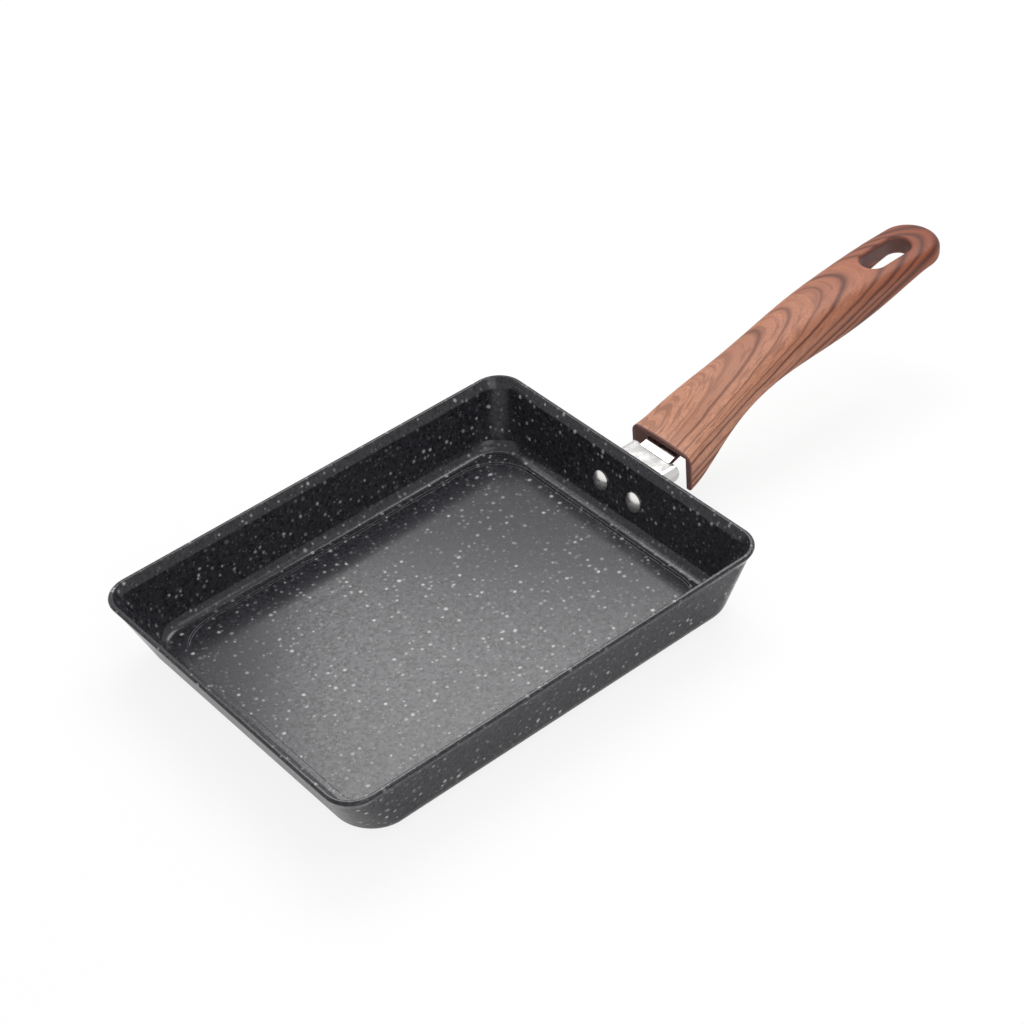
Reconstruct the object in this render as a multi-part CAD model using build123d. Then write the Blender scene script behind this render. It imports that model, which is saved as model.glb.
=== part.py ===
"""Rectangular rolled-omelette frying pan with a fixed handle, in millimetres.

The pan is pressed from one coated aluminium sheet. Two rivets hold a pressed steel bracket on its end wall,
and a moulded handle is screwed to the bracket's tongue from below. Nothing on it moves.
The origin is below the middle of the rim, on the plane that the pan stands on. +X runs along the handle
and +Z is up.
"""
import math
import os

from build123d import *

# Pan body: its walls lean outwards, most at the front
rim_length = 190.0
rim_width = 150.0
inside_depth = 26.6
sheet = 2.0
front_lean = 8.5
handle_lean = 5.0
side_lean = 3.7
floor_fillet = 5.2
rim_corner_radius = 11.5
floor_corner_radius = 16.0

# Lip along the rim, which flares outwards from a crease
lip_rise = 3.7
lip_slope = 60.0
lip_edge_radius = 0.9
lip_inner_edge_radius = 0.6
crease_radius = 2.4

# Floor panel, pressed down by a step so that its underside is what the pan stands on
floor_step = 0.8
step_setback = 5.6
step_edge_radius = 0.35
standing_edge_radius = 0.6
standing_setback = 4.4

# Rivets
rivet_spacing = 18.6
rivet_drop = 15.8
rivet_head_diameter = 8.0
rivet_head_height = 2.0
rivet_head_edge = 0.5
rivet_shank_diameter = 5.0
rivet_tail_diameter = 7.4
rivet_tail_height = 1.8

# Bracket
bracket_sheet = 1.8
web_drop = 8.6
plate_width = 32.0
plate_below_rivets = 7.0
plate_above_rivets = 4.6
plate_corner_radius = 3.5
bend_radius = 1.2
channel_width = 26.2
channel_depth = 5.2
channel_gap = 3.0
channel_bend_radius = 0.8
channel_corner_radius = 2.4
tongue_width = 16.0
tongue_length = 31.5
tongue_slope = 18.0
tongue_bend_radius = 5.0
tongue_corner_radius = 4.0
tongue_bend_before_mouth = 2.6

# Handle
handle_gap = 16.2
handle_run = 134.5
handle_rise = 26.2
mouth_headroom = 5.1
mouth_side_gap = 0.7
mouth_wall = 2.6
mouth_roof = 2.3
mouth_edge_radius = 0.5
grip_width = 25.0
grip_depth = 18.2
grip_edge_radius = 6.5
grip_crown = 0.9
cavity_front_length = 9.0
cavity_end_gap = 1.2
cavity_corner_radius = 2.0

# Hanging slot, wider below, which ends before the centre of the handle's round end
slot_length = 23.7
slot_width_share = 0.416
slot_before_end = 1.0
slot_draft = 5.0
slot_edge_radius = 1.6

# Screw, lock washer and threaded insert
screw_place = 25.0
screw_diameter = 4.0
screw_hole = 4.6
screw_head_diameter = 7.6
screw_head_height = 2.6
screw_head_edge = 0.9
screw_end_gap = 0.5
recess_length = 4.4
recess_width = 1.0
recess_depth = 1.3
washer_diameter = 7.2
washer_thickness = 1.0
washer_split = 0.8
insert_diameter = 6.2
insert_length = 4.0
insert_groove_width = 0.8
insert_groove_depth = 0.35

overrun = 1.0

# Stations of the handle from its mouth to the centre of its round end: the share of the run, of the grip's
# width, of what the mouth is wider by, of the rise and of the grip's depth, and for the upper and the lower
# edges the share of the grip's edge radius.
STATION_SHARES = (
    (0.000, 1.000, 1.000, 0.000, 0.900, 0.62, 0.16),
    (0.080, 1.000, 0.667, 0.148, 0.890, 0.66, 0.22),
    (0.172, 1.000, 0.233, 0.350, 0.810, 0.75, 0.38),
    (0.277, 0.969, 0.000, 0.522, 0.772, 0.88, 0.69),
    (0.418, 0.945, 0.000, 0.716, 0.842, 0.96, 0.90),
    (0.572, 0.985, 0.000, 0.887, 1.000, 1.00, 1.00),
    (0.727, 1.025, 0.000, 0.960, 0.915, 0.88, 0.76),
    (0.860, 1.030, 0.000, 0.988, 0.695, 0.66, 0.50),
    (0.935, 1.025, 0.000, 0.997, 0.560, 0.58, 0.44),
    (1.000, 1.015, 0.000, 1.000, 0.480, 0.52, 0.42),
)

# Heights and places that follow from the sizes above
ledge_height = floor_step + sheet
rim_height = ledge_height + inside_depth
crease_height = rim_height - lip_rise
wall_height = crease_height - ledge_height
lip_angle = math.radians(lip_slope)
lip_overhang = lip_edge_radius * (1 / math.tan(lip_angle / 2) - 1)
crease_inset = sheet / math.sin(lip_angle) - lip_overhang + lip_rise / math.tan(lip_angle)
rim_end = rim_length / 2
wall_angle = math.atan2(handle_lean, wall_height)
rivet_height = rim_height - rivet_drop
rivet_wall_x = rim_end - crease_inset - (crease_height - rivet_height) * math.tan(wall_angle)
web_height = rim_height - web_drop
mouth_x = rim_end + handle_gap
mouth_width = channel_width + 2 * (mouth_side_gap + mouth_wall)
mouth_top = web_height + mouth_headroom
tongue_angle = math.radians(tongue_slope)
tongue_bend_x = mouth_x - tongue_bend_before_mouth
end_x = mouth_x + handle_run
slot_width = grip_width * slot_width_share

# The wall's plane at the rivets: its X runs across the pan, its Y up the wall and its Z out of the pan
wall_plane = Plane(
    origin=(rivet_wall_x, 0, rivet_height),
    x_dir=(0, 1, 0),
    z_dir=(math.cos(wall_angle), 0, -math.sin(wall_angle)),
)

# The top face of the tongue at its screw: its X runs along the tongue and its Z out of it
tongue_plane = Plane(
    origin=(
        tongue_bend_x + screw_place * math.cos(tongue_angle),
        0,
        web_height + screw_place * math.sin(tongue_angle),
    ),
    x_dir=(math.cos(tongue_angle), 0, math.sin(tongue_angle)),
    z_dir=(-math.sin(tongue_angle), 0, math.cos(tongue_angle)),
)


def pan_level(insets, radius, height):
    """A rounded rectangle at a height, inset from the rim at the front, at the handle and at the sides."""
    front, back, side = insets
    level = RectangleRounded(rim_length - front - back, rim_width - 2 * side, radius)
    return Pos((front - back) / 2, 0, height) * level


def pressing(grown, top_height, top_inset):
    """A solid with the pan's inner surface, or the outer one when it is grown by the sheet."""
    leans = (front_lean, handle_lean, side_lean)
    angles = [math.atan2(lean, wall_height) for lean in leans]
    mean_tangent = (front_lean + handle_lean + 2 * side_lean) / 4 / wall_height
    lip_tangent = 1 / math.tan(lip_angle)
    extra = grown / math.sin(lip_angle) - grown * math.hypot(1, mean_tangent)
    drop = extra / (lip_tangent - mean_tangent)
    foot = []
    crease = []
    for lean, angle in zip(leans, angles):
        thickness_across = grown / math.cos(angle)
        foot.append(crease_inset + lean + grown * math.tan(angle) - thickness_across)
        crease.append(crease_inset + drop * math.tan(angle) - thickness_across)
    top = (top_inset, top_inset, top_inset)
    levels = (
        pan_level(foot, floor_corner_radius + grown, ledge_height - grown),
        pan_level(crease, rim_corner_radius - crease[2], crease_height - drop),
        pan_level(top, rim_corner_radius - top_inset, top_height),
    )
    return loft(levels, ruled=True)


def edges_at(shape, height):
    """The edges that lie level at a height."""
    return shape.edges().filter_by_position(Axis.Z, height, height)


def floor_outline(setback):
    """The outline of the floor panel, set back from the foot of the walls."""
    insets = [crease_inset + lean + setback for lean in (front_lean, handle_lean, side_lean)]
    return pan_level(insets, floor_corner_radius + floor_fillet - setback / 2, 0)


def pan_body():
    """The pressed pan, with its floor panel, lip and rivet holes."""
    outside = pressing(sheet, rim_height, -lip_overhang)
    outside = fillet(edges_at(outside, ledge_height - sheet), floor_fillet + sheet)
    standing = extrude(floor_outline(standing_setback), floor_step + sheet / 2)
    standing = fillet(edges_at(standing, 0), standing_edge_radius)
    outside += standing

    top_inset = crease_inset - (lip_rise + overrun) / math.tan(lip_angle)
    inside = pressing(0, rim_height + overrun, top_inset)
    inside = fillet(edges_at(inside, ledge_height), floor_fillet)
    inside = fillet(edges_at(inside, crease_height), crease_radius)
    panel = extrude(Pos(0, 0, sheet) * floor_outline(step_setback), floor_step + sheet)
    inside += fillet(edges_at(panel, sheet), step_edge_radius)

    body = outside - inside
    rim_face = body.faces().sort_by(Axis.Z)[-1]
    body = fillet(rim_face.outer_wire().edges(), lip_edge_radius)
    rim_face = body.faces().filter_by(Axis.Z).sort_by(Axis.Z)[-1]
    body = fillet(rim_face.inner_wires().edges(), lip_inner_edge_radius)
    ledge_face = body.faces().filter_by(Axis.Z).sort_by(Axis.Z)[-2]
    body = fillet(ledge_face.inner_wires().edges(), step_edge_radius)
    upwards = (Align.CENTER, Align.CENTER, Align.MIN)
    shank = Cylinder(rivet_shank_diameter / 2, sheet + 2 * overrun, align=upwards)
    for side in (-1, 1):
        body -= wall_plane * Pos(side * rivet_spacing / 2, 0, -overrun) * shank
    return body


def post(diameter, bottom, top):
    """A round bar along Z between two heights."""
    bar = Cylinder(diameter / 2, top - bottom, align=(Align.CENTER, Align.CENTER, Align.MIN))
    return Pos(0, 0, bottom) * bar


def button(diameter, height, edge):
    """A domed head on the level plane, with an upright edge below its dome."""
    corner = (diameter / 2, edge)
    dome = TangentArc((0, height), corner, tangent=(1, 0))
    outline = Polyline(corner, (diameter / 2, 0), (0, 0), (0, height))
    return revolve(Plane.XZ * make_face([dome, outline]), Axis.Z)


def rivet(side):
    """One solid rivet, set from inside the pan through the wall and the bracket."""
    seat = sheet + bracket_sheet
    shape = Rot(180, 0, 0) * button(rivet_head_diameter, rivet_head_height, rivet_head_edge)
    shape += post(rivet_shank_diameter, 0, seat)
    shape += Pos(0, 0, seat) * button(rivet_tail_diameter, rivet_tail_height, rivet_head_edge)
    return wall_plane * Pos(side * rivet_spacing / 2, 0, 0) * shape


def handle_bracket():
    """The pressed bracket: a plate on the pan's wall, a short channel and the tongue inside the handle."""
    foot = wall_plane.from_local_coords(Vector(0, -plate_below_rivets, sheet))
    climb = web_height - foot.Z
    corner_x = foot.X + climb * math.tan(wall_angle)
    tip = tongue_plane.from_local_coords(Vector(tongue_length - screw_place, 0, 0))
    path = FilletPolyline(
        (foot.X, foot.Z),
        (corner_x, web_height),
        (tongue_bend_x, web_height),
        (tip.X, tip.Z),
        radius=[bend_radius + bracket_sheet, tongue_bend_radius],
    )
    side_outline = make_face(offset(path, bracket_sheet, side=Side.RIGHT))
    strip = extrude(Plane.XZ * side_outline, tongue_width / 2, both=True)
    tip_edges = strip.edges().filter_by(Axis((0, 0, 0), tongue_plane.z_dir)).sort_by(Axis.X)[-2:]
    strip = fillet(tip_edges, tongue_corner_radius)

    plate_height = plate_below_rivets + plate_above_rivets
    plate = extrude(RectangleRounded(plate_width, plate_height, plate_corner_radius), bracket_sheet)
    strip += wall_plane * Pos(0, plate_height / 2 - plate_below_rivets, sheet) * plate

    channel_start = corner_x + bracket_sheet + channel_gap
    length = tongue_bend_x - channel_start
    at_top = (Align.MIN, Align.CENTER, Align.MAX)
    channel = Box(length, channel_width, channel_depth, align=at_top)
    top_edges = channel.edges().filter_by(Axis.X).group_by(Axis.Z)[-1]
    channel = fillet(top_edges, channel_bend_radius + bracket_sheet)
    channel = fillet(channel.edges().filter_by(Axis.Y).group_by(Axis.Z)[0], channel_corner_radius)
    room = Box(length, channel_width - 2 * bracket_sheet, channel_depth, align=at_top)
    room = fillet(room.edges().filter_by(Axis.X).group_by(Axis.Z)[-1], channel_bend_radius)
    channel -= Pos(0, 0, -bracket_sheet) * room
    strip += Pos(channel_start, 0, web_height) * channel

    seat = sheet + bracket_sheet
    for side in (-1, 1):
        hole = post(rivet_shank_diameter, sheet - overrun, seat + overrun)
        strip -= wall_plane * Pos(side * rivet_spacing / 2, 0, 0) * hole
    strip -= tongue_plane * post(screw_hole, -bracket_sheet - overrun, overrun)
    return strip


def handle_section(shares):
    """One upright section of the handle, with a crowned top and rounded edges."""
    run_share, grip_share, mouth_share, rise_share, depth_share, upper_share, lower_share = shares
    half = (grip_width * grip_share + (mouth_width - grip_width) * mouth_share) / 2
    top = mouth_top + handle_rise * rise_share
    bottom = top - grip_depth * depth_share
    shoulder = top - grip_crown
    crown = ThreePointArc((-half, shoulder), (0, top), (half, shoulder))
    sides = Polyline((half, shoulder), (half, bottom), (-half, bottom), (-half, shoulder))
    face = make_face([crown, sides])
    face = fillet(face.vertices().group_by(Axis.Y)[-1], grip_edge_radius * upper_share)
    face = fillet(face.vertices().group_by(Axis.Y)[0], grip_edge_radius * lower_share)
    place = Plane(origin=(mouth_x + handle_run * run_share, 0, 0), x_dir=(0, 1, 0), z_dir=(1, 0, 0))
    return place * face


def tongue_line(along):
    """The height of the plane that the tongue's top face lies in, at a place along X."""
    return web_height + (along - tongue_bend_x) * math.tan(tongue_angle)


def handle_cavity():
    """The room at the handle's mouth, open to the front and below, with the tongue's seat as its roof."""
    tip_x = tongue_bend_x + tongue_length * math.cos(tongue_angle)
    end = tip_x + cavity_end_gap
    front = mouth_x - overrun
    step = mouth_x + cavity_front_length
    lift = mouth_top - mouth_roof - tongue_line(mouth_x)
    low = mouth_top - grip_depth - overrun
    side_view = Polyline(
        (front, low),
        (front, tongue_line(front) + lift),
        (step, tongue_line(step) + lift),
        (step, tongue_line(step)),
        (end, tongue_line(end)),
        (end, low),
        close=True,
    )
    mouth_half = mouth_width / 2 - mouth_wall
    end_half = grip_width / 2 - mouth_wall
    narrowing = (mouth_half - end_half) / (end - mouth_x)
    front_half = mouth_half + overrun * narrowing
    plan = Polyline((front, -front_half), (end, -end_half), (end, end_half), (front, front_half), close=True)
    plan_face = make_face(plan)
    plan_face = fillet(plan_face.vertices().group_by(Axis.X)[-1], cavity_corner_radius)
    upright = extrude(Pos(0, 0, low) * plan_face, mouth_top + handle_rise - low)
    return upright & extrude(Plane.XZ * make_face(side_view), mouth_width / 2, both=True)


def handle_grip():
    """The moulded handle: its round end, the cavity at its mouth, the insert's bore and the hanging slot."""
    sections = [handle_section(shares) for shares in STATION_SHARES]
    shape = loft(sections)
    end_height = 2 * (mouth_top + handle_rise)
    one_side = Box(overrun, grip_width, end_height, align=(Align.CENTER, Align.MIN, Align.CENTER))
    half_section = sections[-1] & (Pos(end_x, 0, 0) * one_side)
    shape += revolve(half_section, Axis((end_x, 0, 0), (0, 0, 1)), -180)
    shape -= handle_cavity()
    mouth_face = shape.faces().sort_by(Axis.X)[0]
    shape = fillet(mouth_face.outer_wire().edges(), mouth_edge_radius)
    shape -= tongue_plane * post(insert_diameter, -overrun, insert_length)

    slot_x = end_x - slot_before_end - slot_length / 2
    slot_top = Plane(origin=(slot_x, 0, mouth_top + handle_rise), x_dir=(1, 0, 0), z_dir=(0, 0, -1))
    shape -= extrude(slot_top * SlotOverall(slot_length, slot_width), grip_depth, taper=-slot_draft)
    rims = [edge for edge in shape.edges() if edge_in_slot(edge, slot_x)]
    return fillet(rims, slot_edge_radius)


def edge_in_slot(edge, slot_x):
    """Whether an edge of the handle runs round one of the slot's two rims."""
    box = edge.bounding_box()
    within = abs(box.center().X - slot_x) < slot_length / 2 + slot_edge_radius and box.size.Z < grip_depth / 4
    reach = max(abs(box.min.Y), abs(box.max.Y))
    return within and reach < slot_width / 2 + slot_edge_radius


def handle_screw():
    """The machine screw from below: its head under the washer, its end short of the insert's."""
    seat = bracket_sheet + washer_thickness
    head = button(screw_head_diameter, screw_head_height, screw_head_edge)
    bar = Box(recess_length, recess_width, 2 * recess_depth)
    head -= Pos(0, 0, screw_head_height) * (bar + Rot(0, 0, 90) * bar)
    screw = Pos(0, 0, -seat) * Rot(180, 0, 0) * head
    screw += post(screw_diameter, -seat, insert_length - screw_end_gap)
    return tongue_plane * screw


def lock_washer():
    """The split spring washer between the screw's head and the tongue."""
    ring = post(washer_diameter, 0, washer_thickness) - post(screw_hole, 0, washer_thickness)
    outwards = (Align.MIN, Align.CENTER, Align.CENTER)
    split = Box(washer_diameter, washer_split, 2 * washer_thickness, align=outwards)
    return tongue_plane * Pos(0, 0, -bracket_sheet - washer_thickness) * (ring - split)


def threaded_insert():
    """The brass insert moulded into the handle above the tongue."""
    bush = post(insert_diameter, 0, insert_length) - post(screw_diameter, 0, insert_length)
    middle = insert_length / 2
    groove = post(insert_diameter, middle - insert_groove_width / 2, middle + insert_groove_width / 2)
    groove -= post(insert_diameter - 2 * insert_groove_depth, 0, insert_length)
    return tongue_plane * (bush - groove)


nodes = {
    "pan_body": pan_body(),
    "handle_bracket": handle_bracket(),
    "rivet_left": rivet(1),
    "rivet_right": rivet(-1),
    "handle_grip": handle_grip(),
    "handle_screw": handle_screw(),
    "lock_washer": lock_washer(),
    "threaded_insert": threaded_insert(),
}

os.makedirs("parts", exist_ok=True)
for name, shape in nodes.items():
    export_step(shape, f"parts/{name}.step")
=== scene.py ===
import math

import bpy
from mathutils import Matrix, Vector

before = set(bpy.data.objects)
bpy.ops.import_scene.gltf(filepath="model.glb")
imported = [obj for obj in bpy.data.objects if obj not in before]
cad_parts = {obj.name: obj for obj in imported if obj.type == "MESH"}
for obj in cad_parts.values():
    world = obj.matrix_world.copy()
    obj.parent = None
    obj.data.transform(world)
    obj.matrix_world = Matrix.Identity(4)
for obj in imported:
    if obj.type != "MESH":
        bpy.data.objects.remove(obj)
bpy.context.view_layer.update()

mm = 0.001
scene = bpy.context.scene


# Colours and nodes

def colour(code):
    """An sRGB hex colour as the linear values that shaders read."""
    channels = [int(code[i:i + 2], 16) / 255 for i in (1, 3, 5)]
    linear = [c / 12.92 if c <= 0.04045 else ((c + 0.055) / 1.055) ** 2.4 for c in channels]
    return (*linear, 1.0)


def grey(value):
    """A grey, used as a number in a ramp."""
    return (value, value, value, 1.0)


def new_material(name):
    """An empty node material."""
    material = bpy.data.materials.new(name)
    material.use_nodes = True
    material.node_tree.nodes.clear()
    return material


def add(tree, kind, settings, inputs):
    """Adds a node with its options, and sets or links its inputs, by name or by number."""
    node = tree.nodes.new("ShaderNode" + kind)
    for option, value in settings.items():
        if option == "stops":
            ramp = node.color_ramp
            while len(ramp.elements) < len(value):
                ramp.elements.new(0.5)
            for element, (place, shade) in zip(ramp.elements, value):
                element.position = place
                element.color = shade
        else:
            setattr(node, option, value)
    for socket, value in inputs.items():
        if isinstance(value, bpy.types.NodeSocket):
            tree.links.new(value, node.inputs[socket])
        else:
            node.inputs[socket].default_value = value
    return node


def ends(low, high, at_low, at_high):
    """The inputs of a range map: what comes in from low to high goes out from at_low to at_high."""
    return {1: low, 2: high, 3: at_low, 4: at_high}


def paint(names, material):
    """Gives the named pieces one finish."""
    for name in names:
        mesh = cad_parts[name].data
        mesh.materials.clear()
        mesh.materials.append(material)


# Non-stick coating: sprayed and baked fluoropolymer with mineral flecks. It is a charcoal film
# with a satin surface, many dull grey flecks, a few bright ones, and a cloudy grain between them.
# The real grain is finer than a pixel here, so it is drawn as coarse as the picture can show.

waver_scale = 0.35 / mm         # of the noise that bends the flecks, so that they aren't round
waver_reach = 0.8 * mm
speck_cell = 2.7 * mm           # a cell holds one speck, or one dot
speck_radius = (0.12, 0.29)     # shares of the cell, smallest and largest
speck_edge = (-0.1, 0.12)       # from outside to inside a speck, where it fades in
speck_strength = (0.06, 0.62)   # dullest and brightest
speck_rarity = 2.5              # a higher power makes bright specks rarer
dot_cell = 1.25 * mm
dot_radius_most = 0.3
dot_from = 0.3                  # share of the cells that have hardly a dot
dot_edge = (-0.05, 0.2)
dot_strength = 0.16
cloud_size = 1.5 * mm
grain_size = 0.45 * mm
grain_weight = 0.8
film_dark = (0.65, colour("#131316"))   # where film_share has this value, the film has this colour
film_light = (1.0, colour("#313136"))
fleck_colour = colour("#e0e0df")
film_rough_share = (0.7, 1.1)
film_roughness = (0.22, 0.14)   # in the dark grain and in the light grain
fluoropolymer_ior = 1.38

coating = new_material("Speckled satin non-stick coating")
tree = coating.node_tree
place = add(tree, "TexCoord", {}, {}).outputs["Object"]
waver = add(tree, "TexNoise", {}, {"Vector": place, "Scale": waver_scale, "Detail": 2.0})
wavered = add(tree, "VectorMath", {"operation": "MULTIPLY_ADD"}, {
    0: waver.outputs["Color"], 1: (waver_reach,) * 3, 2: place})

specks = add(tree, "TexVoronoi", {}, {
    "Vector": wavered.outputs[0], "Scale": 1 / speck_cell, "Randomness": 1.0})
speck_draw = add(tree, "SeparateColor", {}, {0: specks.outputs["Color"]})
speck_size = add(tree, "MapRange", {}, {0: speck_draw.outputs[0], **ends(0.0, 1.0, *speck_radius)})
speck_inside = add(tree, "Math", {"operation": "SUBTRACT"}, {
    0: speck_size.outputs[0], 1: specks.outputs["Distance"]})
speck_mask = add(tree, "MapRange", {}, {0: speck_inside.outputs[0], **ends(*speck_edge, 0.0, 1.0)})
speck_rare = add(tree, "Math", {"operation": "POWER"}, {0: speck_draw.outputs[1], 1: speck_rarity})
speck_level = add(tree, "MapRange", {}, {0: speck_rare.outputs[0], **ends(0.0, 1.0, *speck_strength)})
speck_share = add(tree, "Math", {"operation": "MULTIPLY"}, {
    0: speck_mask.outputs[0], 1: speck_level.outputs[0]})

dots = add(tree, "TexVoronoi", {}, {
    "Vector": wavered.outputs[0], "Scale": 1 / dot_cell, "Randomness": 1.0})
dot_draw = add(tree, "SeparateColor", {}, {0: dots.outputs["Color"]})
dot_size = add(tree, "MapRange", {}, {0: dot_draw.outputs[1], **ends(dot_from, 1.0, 0.0, dot_radius_most)})
dot_inside = add(tree, "Math", {"operation": "SUBTRACT"}, {
    0: dot_size.outputs[0], 1: dots.outputs["Distance"]})
dot_share = add(tree, "MapRange", {}, {0: dot_inside.outputs[0], **ends(*dot_edge, 0.0, dot_strength)})
flecks = add(tree, "Math", {"operation": "MAXIMUM"}, {0: speck_share.outputs[0], 1: dot_share.outputs[0]})

cloud = add(tree, "TexNoise", {}, {"Vector": place, "Scale": 1 / cloud_size, "Detail": 1.0})
grain = add(tree, "TexNoise", {}, {"Vector": place, "Scale": 1 / grain_size, "Detail": 1.0})
film_share = add(tree, "Math", {"operation": "MULTIPLY_ADD"}, {
    0: grain.outputs[0], 1: grain_weight, 2: cloud.outputs[0]})
film = add(tree, "ValToRGB", {"stops": [film_dark, film_light]}, {0: film_share.outputs[0]})
film_colour = add(tree, "Mix", {"data_type": "RGBA"}, {
    "Factor": flecks.outputs[0], 6: film.outputs[0], 7: fleck_colour})
film_rough = add(tree, "MapRange", {}, {0: film_share.outputs[0], **ends(*film_rough_share, *film_roughness)})
surface = add(tree, "BsdfPrincipled", {}, {
    "Base Color": film_colour.outputs[2], "Roughness": film_rough.outputs[0], "IOR": fluoropolymer_ior})
add(tree, "OutputMaterial", {}, {"Surface": surface.outputs[0]})
paint(["pan_body"], coating)


# Handle: phenolic plastic with a printed wood-grain film under a satin lacquer. Around a point
# near the mouth the film has dark arches that point to the handle's end, with wavy fibres between
# them. The film stops at the mouth and at the slot, where the bare dark brown plastic shows.
# Lengths in this material are in millimetres. Wrap is the distance around the handle from its
# top centre line, and drop is the height below that line. The arches are curves of equal size,
# where size = sqrt(along squared + (arch_squeeze * aside) squared) - arch_slope * aside.

line_top = 52.5
line_end_x = 245.0
line_bow = 0.00149              # the line's fall over the square of the distance from line_end_x
arch_x = 89.7                   # along and wrap of the point that the arches go around
arch_wrap = 12.0
arch_squeeze = 6.24
arch_slope = 3.0
wave_length = (14.0, 6.0)       # along the handle and around it
wave_reach = 1.6
wiggle_length = (2.6, 2.2)
wiggle_reach = 0.7
fibre_spacing = 3.4             # in arch size
fibre_length = 9.0
fibre_noise = (0.42, 0.62)      # the noise values between which a fibre darkens
fibre_strength = 0.52
pore_size = (1.4, 0.4)
pore_noise = (0.46, 0.66)
pore_strength = 0.45
arch_size_most = 180.0
arch_darkness = [               # an arch's size and how dark it is there
    (0, 0.1), (27, 0.1), (29, 0.6), (31, 0.1), (50, 0.0), (55, 0.55), (58, 0.3), (65.5, 0.3),
    (68, 0.85), (71, 0.2), (79, 0.0), (81, 0.8), (83, 0.15), (93, 0.0), (95, 0.8), (96.5, 0.3),
    (102, 0.2), (104.5, 1.0), (107.5, 0.3), (112, 0.0), (119, 0.3), (122, 0.9), (125, 0.3), (129, 0.4),
    (132, 1.0), (135, 0.4), (138, 0.4), (140, 1.0), (143, 0.3), (148, 1.0), (154, 0.3), (164, 0.9)]
ground_from_x = 112.0
ground_to_x = 256.0
ground_at_mouth = colour("#d1977a")
ground_at_end = colour("#9a5030")
grain_colour = colour("#4c2016")
bare_plastic = colour("#6a4640")
mouth_edge_x = 112.1
roof_drop_most = 9.0
cavity_to_x = 150.0
slot_centre_x = 232.85
slot_half = 6.65
slot_radius = 5.9
slot_rim_fade = (0.5, 1.5)
inner_side_facing = -0.5        # a normal's share across the handle, outwards
roof_facing = -0.3              # a normal's share upwards
lacquer_roughness = 0.5
lacquer_ior = 1.5
lacquer_specular = 0.3          # below the default, as the lacquer's fine texture dulls its shine

wood = new_material("Satin wood-grain film on phenolic plastic")
tree = wood.node_tree
place = add(tree, "TexCoord", {}, {}).outputs["Object"]
in_mm = add(tree, "VectorMath", {"operation": "SCALE"}, {0: place, "Scale": 1 / mm})
axes = add(tree, "SeparateXYZ", {}, {0: in_mm.outputs[0]})

# Where a point lies on the handle
from_end = add(tree, "Math", {"operation": "SUBTRACT"}, {0: line_end_x, 1: axes.outputs[0]})
end_squared = add(tree, "Math", {"operation": "MULTIPLY"}, {0: from_end.outputs[0], 1: from_end.outputs[0]})
bow = add(tree, "Math", {"operation": "MULTIPLY_ADD"}, {
    0: end_squared.outputs[0], 1: line_bow, 2: axes.outputs[2]})
drop = add(tree, "Math", {"operation": "SUBTRACT"}, {0: line_top, 1: bow.outputs[0]})
drop_down = add(tree, "Math", {"operation": "MAXIMUM"}, {0: drop.outputs[0], 1: 0.0})
side = add(tree, "Math", {"operation": "SIGN"}, {0: axes.outputs[1]})
wrap = add(tree, "Math", {"operation": "MULTIPLY_ADD"}, {
    0: side.outputs[0], 1: drop_down.outputs[0], 2: axes.outputs[1]})
film_place = add(tree, "CombineXYZ", {}, {0: axes.outputs[0], 1: wrap.outputs[0], 2: 0.0})

# Size of the arch through a point, with waves in it
wave_place = add(tree, "VectorMath", {"operation": "MULTIPLY"}, {
    0: film_place.outputs[0], 1: (1 / wave_length[0], 1 / wave_length[1], 1.0)})
wave = add(tree, "TexNoise", {}, {"Vector": wave_place.outputs[0], "Scale": 1.0, "Detail": 3.0})
wiggle_place = add(tree, "VectorMath", {"operation": "MULTIPLY"}, {
    0: film_place.outputs[0], 1: (1 / wiggle_length[0], 1 / wiggle_length[1], 1.0)})
wiggle = add(tree, "TexNoise", {}, {"Vector": wiggle_place.outputs[0], "Scale": 1.0, "Detail": 2.0})
wiggled = add(tree, "Math", {"operation": "MULTIPLY_ADD"}, {
    0: wiggle.outputs[0], 1: wiggle_reach, 2: wrap.outputs[0]})
waved = add(tree, "Math", {"operation": "MULTIPLY_ADD"}, {
    0: wave.outputs[0], 1: wave_reach, 2: wiggled.outputs[0]})
mean_waves = (wave_reach + wiggle_reach) / 2
offset = add(tree, "Math", {"operation": "SUBTRACT"}, {0: waved.outputs[0], 1: arch_wrap + mean_waves})
aside = add(tree, "Math", {"operation": "ABSOLUTE"}, {0: offset.outputs[0]})
along = add(tree, "Math", {"operation": "SUBTRACT"}, {0: axes.outputs[0], 1: arch_x})
squeezed = add(tree, "Math", {"operation": "MULTIPLY"}, {0: aside.outputs[0], 1: arch_squeeze})
arch_place = add(tree, "CombineXYZ", {}, {0: along.outputs[0], 1: squeezed.outputs[0], 2: 0.0})
arch_reach = add(tree, "VectorMath", {"operation": "LENGTH"}, {0: arch_place.outputs[0]})
arch = add(tree, "Math", {"operation": "MULTIPLY_ADD"}, {
    0: aside.outputs[0], 1: -arch_slope, 2: arch_reach.outputs["Value"]})
arch_share = add(tree, "Math", {"operation": "DIVIDE"}, {0: arch.outputs[0], 1: arch_size_most})
arch_stops = [(size / arch_size_most, grey(dark)) for size, dark in arch_darkness]
arches = add(tree, "ValToRGB", {"stops": arch_stops}, {0: arch_share.outputs[0]})

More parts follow.
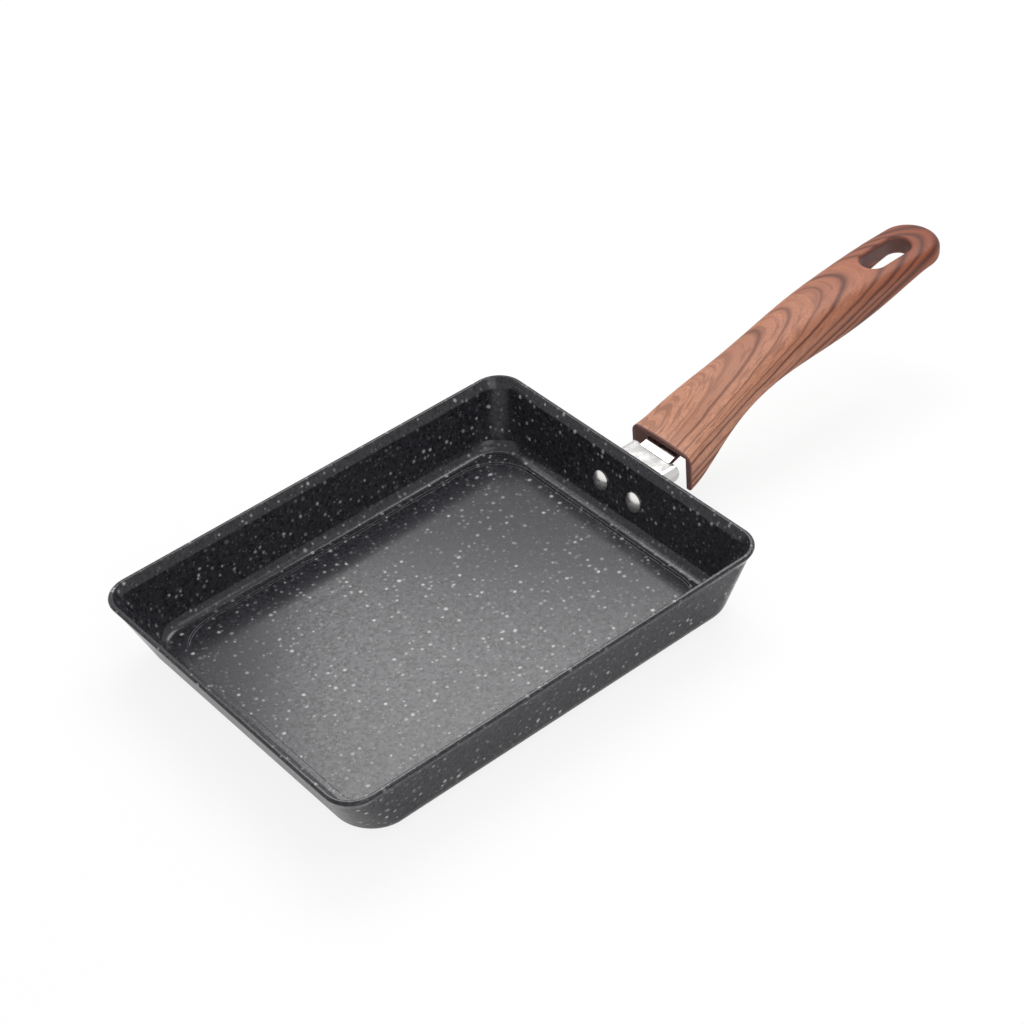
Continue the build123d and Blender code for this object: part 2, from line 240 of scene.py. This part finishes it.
# Fibres along the arches, and short pores
across_fibres = add(tree, "Math", {"operation": "DIVIDE"}, {0: arch.outputs[0], 1: fibre_spacing})
along_fibres = add(tree, "Math", {"operation": "DIVIDE"}, {0: axes.outputs[0], 1: fibre_length})
fibre_place = add(tree, "CombineXYZ", {}, {0: across_fibres.outputs[0], 1: along_fibres.outputs[0], 2: 0.0})
fibres = add(tree, "TexNoise", {}, {
    "Vector": fibre_place.outputs[0], "Scale": 1.0, "Detail": 4.0, "Roughness": 0.65})
fibre_share = add(tree, "MapRange", {}, {0: fibres.outputs[0], **ends(*fibre_noise, 0.0, fibre_strength)})
pore_place = add(tree, "VectorMath", {"operation": "MULTIPLY"}, {
    0: film_place.outputs[0], 1: (1 / pore_size[0], 1 / pore_size[1], 1.0)})
pores = add(tree, "TexNoise", {}, {"Vector": pore_place.outputs[0], "Scale": 1.0, "Detail": 2.0})
pore_share = add(tree, "MapRange", {}, {0: pores.outputs[0], **ends(*pore_noise, 0.0, pore_strength)})
fine_share = add(tree, "Math", {"operation": "MAXIMUM"}, {
    0: fibre_share.outputs[0], 1: pore_share.outputs[0]})
dark_share = add(tree, "Math", {"operation": "MAXIMUM"}, {0: arches.outputs[0], 1: fine_share.outputs[0]})
ground_share = add(tree, "MapRange", {}, {0: axes.outputs[0], **ends(ground_from_x, ground_to_x, 0.0, 1.0)})
ground_colour = add(tree, "Mix", {"data_type": "RGBA"}, {
    "Factor": ground_share.outputs[0], 6: ground_at_mouth, 7: ground_at_end})
grained = add(tree, "Mix", {"data_type": "RGBA"}, {
    "Factor": dark_share.outputs[0], 6: ground_colour.outputs[2], 7: grain_colour})

# Bare plastic on the mouth's edge, on the slot's wall and inside the mouth
mouth_edge = add(tree, "Math", {"operation": "LESS_THAN"}, {0: axes.outputs[0], 1: mouth_edge_x})
across = add(tree, "Math", {"operation": "ABSOLUTE"}, {0: axes.outputs[1]})
slot_along = add(tree, "Math", {"operation": "SUBTRACT"}, {0: axes.outputs[0], 1: slot_centre_x})
slot_away = add(tree, "Math", {"operation": "ABSOLUTE"}, {0: slot_along.outputs[0]})
slot_over = add(tree, "Math", {"operation": "SUBTRACT"}, {0: slot_away.outputs[0], 1: slot_half})
slot_end = add(tree, "Math", {"operation": "MAXIMUM"}, {0: slot_over.outputs[0], 1: 0.0})
slot_place = add(tree, "CombineXYZ", {}, {0: slot_end.outputs[0], 1: across.outputs[0], 2: 0.0})
slot_reach = add(tree, "VectorMath", {"operation": "LENGTH"}, {0: slot_place.outputs[0]})
in_slot = add(tree, "Math", {"operation": "LESS_THAN"}, {0: slot_reach.outputs["Value"], 1: slot_radius})
below_rim = add(tree, "MapRange", {}, {0: drop.outputs[0], **ends(*slot_rim_fade, 0.0, 1.0)})
slot_wall = add(tree, "Math", {"operation": "MULTIPLY"}, {0: in_slot.outputs[0], 1: below_rim.outputs[0]})
faces = add(tree, "SeparateXYZ", {}, {0: add(tree, "NewGeometry", {}, {}).outputs["Normal"]})
outwards = add(tree, "Math", {"operation": "MULTIPLY"}, {0: faces.outputs[1], 1: side.outputs[0]})
inner_side = add(tree, "Math", {"operation": "LESS_THAN"}, {0: outwards.outputs[0], 1: inner_side_facing})
faces_down = add(tree, "Math", {"operation": "LESS_THAN"}, {0: faces.outputs[2], 1: roof_facing})
near_roof = add(tree, "Math", {"operation": "LESS_THAN"}, {0: drop.outputs[0], 1: roof_drop_most})
roof = add(tree, "Math", {"operation": "MULTIPLY"}, {0: faces_down.outputs[0], 1: near_roof.outputs[0]})
inner = add(tree, "Math", {"operation": "MAXIMUM"}, {0: inner_side.outputs[0], 1: roof.outputs[0]})
near_mouth = add(tree, "Math", {"operation": "LESS_THAN"}, {0: axes.outputs[0], 1: cavity_to_x})
in_cavity = add(tree, "Math", {"operation": "MULTIPLY"}, {0: inner.outputs[0], 1: near_mouth.outputs[0]})
edge_share = add(tree, "Math", {"operation": "MAXIMUM"}, {0: mouth_edge.outputs[0], 1: slot_wall.outputs[0]})
bare_share = add(tree, "Math", {"operation": "MAXIMUM"}, {0: edge_share.outputs[0], 1: in_cavity.outputs[0]})
handle_colour = add(tree, "Mix", {"data_type": "RGBA"}, {
    "Factor": bare_share.outputs[0], 6: grained.outputs[2], 7: bare_plastic})
surface = add(tree, "BsdfPrincipled", {}, {
    "Base Color": handle_colour.outputs[2], "Roughness": lacquer_roughness, "IOR": lacquer_ior,
    "Specular IOR Level": lacquer_specular})
add(tree, "OutputMaterial", {}, {"Surface": surface.outputs[0]})
paint(["handle_grip"], wood)


# Metals: each has a colour and a cloudy roughness that comes from how its surface was made

noise_spread = (0.3, 0.7)       # the values that a noise texture mostly stays within


def metal(name, metal_colour, patch, detail, roughness):
    """A bare metal whose roughness varies between two values over patches of a real size."""
    material = new_material(name)
    tree = material.node_tree
    place = add(tree, "TexCoord", {}, {}).outputs["Object"]
    patches = add(tree, "TexNoise", {}, {"Vector": place, "Scale": 1 / patch, "Detail": detail})
    rough = add(tree, "MapRange", {}, {0: patches.outputs[0], **ends(*noise_spread, *roughness)})
    surface = add(tree, "BsdfPrincipled", {}, {
        "Base Color": colour(metal_colour), "Metallic": 1.0, "Roughness": rough.outputs[0]})
    add(tree, "OutputMaterial", {}, {"Surface": surface.outputs[0]})
    return material


# Bracket: stainless steel strip, pressed and polished, so it mirrors the studio
steel = metal("Polished stainless steel", "#c9c8c6", patch=4 * mm, detail=3.0, roughness=(0.1, 0.2))
paint(["handle_bracket"], steel)

# Rivets: soft aluminium, upset and buffed, with a broad soft highlight
aluminium = metal("Buffed aluminium", "#eceae6", patch=1.5 * mm, detail=3.0, roughness=(0.24, 0.36))
paint(["rivet_left", "rivet_right"], aluminium)

# Screw and washer: steel with bright zinc plating, a little cloudy
zinc = metal("Bright zinc-plated steel", "#c3c6cb", patch=2 * mm, detail=4.0, roughness=(0.25, 0.42))
paint(["handle_screw", "lock_washer"], zinc)

# Insert: brass as the lathe leaves it, yellow with fine tool marks that blur its mirror
brass = metal("Turned brass", "#d3b066", patch=0.8 * mm, detail=2.0, roughness=(0.22, 0.35))
paint(["threaded_insert"], brass)


# Floor: white paper that the camera sees almost unshaded, so that only a soft shadow is left.
# Surfaces that mirror it see less of that white, so that metal and coating keep darker sides.
# It lies just under the pan, so that no two faces share a plane.

floor_size = 6.0                # metres
floor_gap = 0.1 * mm
paper_cloud = 30 * mm
white_seen = 0.85
white_mirrored = 0.4
pure_white = colour("#ffffff")

bpy.ops.object.select_all(action="DESELECT")
bpy.ops.mesh.primitive_plane_add(size=floor_size, location=(0, 0, -floor_gap))
floor = bpy.context.object
floor.name = "studio_floor"
paper = new_material("Matt white paper")
tree = paper.node_tree
place = add(tree, "TexCoord", {}, {}).outputs["Object"]
fibre = add(tree, "TexNoise", {}, {"Vector": place, "Scale": 1 / paper_cloud, "Detail": 2.0})
fibre_colour = add(tree, "Mix", {"data_type": "RGBA"}, {
    "Factor": fibre.outputs[0], 6: colour("#f4f4f4"), 7: colour("#f6f6f6")})
matt = add(tree, "BsdfDiffuse", {}, {"Color": fibre_colour.outputs[2]})
glow = add(tree, "Emission", {}, {"Color": pure_white, "Strength": 1.0})
rays = add(tree, "LightPath", {}, {})
mirrored = add(tree, "Math", {"operation": "MULTIPLY"}, {0: rays.outputs["Is Glossy Ray"], 1: white_mirrored})
through = add(tree, "Math", {"operation": "MAXIMUM"}, {
    0: mirrored.outputs[0], 1: rays.outputs["Is Transmission Ray"]})
seen = add(tree, "Math", {"operation": "MAXIMUM"}, {0: rays.outputs["Is Camera Ray"], 1: through.outputs[0]})
white_share = add(tree, "Math", {"operation": "MULTIPLY"}, {0: seen.outputs[0], 1: white_seen})
sheet = add(tree, "MixShader", {}, {0: white_share.outputs[0], 1: matt.outputs[0], 2: glow.outputs[0]})
add(tree, "OutputMaterial", {}, {"Surface": sheet.outputs[0]})
floor.data.materials.append(paper)


# World: white where the camera, a mirror or glass shows it, dimmer as light on the object

world_light = 0.5

world = bpy.data.worlds.new("Studio")
scene.world = world
world.use_nodes = True
tree = world.node_tree
tree.nodes.clear()
rays = add(tree, "LightPath", {}, {})
dim = add(tree, "Background", {}, {"Color": pure_white, "Strength": world_light})
white = add(tree, "Background", {}, {"Color": pure_white, "Strength": 1.0})
through = add(tree, "Math", {"operation": "MAXIMUM"}, {
    0: rays.outputs["Is Glossy Ray"], 1: rays.outputs["Is Transmission Ray"]})
seen = add(tree, "Math", {"operation": "MAXIMUM"}, {0: rays.outputs["Is Camera Ray"], 1: through.outputs[0]})
backdrop = add(tree, "MixShader", {}, {0: seen.outputs[0], 1: dim.outputs[0], 2: white.outputs[0]})
add(tree, "OutputWorld", {}, {"Surface": backdrop.outputs[0]})


# Lamps: soft boxes that look at the pan

lamp_aim = Vector((0.05, 0, 0.02))


def soft_box(name, direction, distance, width, height, strength):
    """A soft box in a direction from the pan; strength is its brightness per area."""
    lamp = bpy.data.lights.new(name, "AREA")
    lamp.shape = "RECTANGLE"
    lamp.size = width
    lamp.size_y = height
    lamp.energy = strength * math.pi * width * height
    box = bpy.data.objects.new(name, lamp)
    scene.collection.objects.link(box)
    towards = Vector(direction).normalized()
    turn = towards.to_track_quat("Z", "Y").to_matrix().to_4x4()
    box.matrix_world = Matrix.Translation(lamp_aim + towards * distance) @ turn


# The back box makes the wide highlight on the pan's floor and the left box the bracket's white
# top. The other two are soft fill from above and from the front.
soft_box("back_box", direction=(0.468, 0.368, 0.814), distance=1.5, width=1.1, height=0.6, strength=6.7)
soft_box("left_box", direction=(0.0, 0.63, 0.76), distance=1.5, width=0.5, height=0.4, strength=1.8)
soft_box("top_box", direction=(0.1, -0.3, 1.0), distance=1.5, width=0.7, height=0.7, strength=2.0)
soft_box("front_box", direction=(-0.3, -1.0, 0.45), distance=1.6, width=1.0, height=0.8, strength=1.8)


# Camera at the photo's angle, with its place, turn and focal length fitted to the pan's outline

camera_place = (-0.38013, -0.56735, 0.62090)
camera_turn = (-36.42, 39.82, 5.43)     # degrees around, up and rolled
focal_length = 88.59
sensor_width = 36.0

camera = bpy.data.objects.new("camera", bpy.data.cameras.new("camera"))
scene.collection.objects.link(camera)
scene.camera = camera
camera.data.sensor_width = sensor_width
camera.data.lens = focal_length
azimuth, elevation, roll = (math.radians(angle) for angle in camera_turn)
back = Vector((
    math.sin(azimuth) * math.cos(elevation), -math.cos(azimuth) * math.cos(elevation), math.sin(elevation)))
level = (-back).cross(Vector((0, 0, 1))).normalized()
down = (-back).cross(level)
right = math.cos(roll) * level + math.sin(roll) * down
low = -math.sin(roll) * level + math.cos(roll) * down
turn = Matrix((right, -low, back)).transposed()
camera.matrix_world = Matrix.Translation(camera_place) @ turn.to_4x4()

scene.view_settings.view_transform = "Standard"
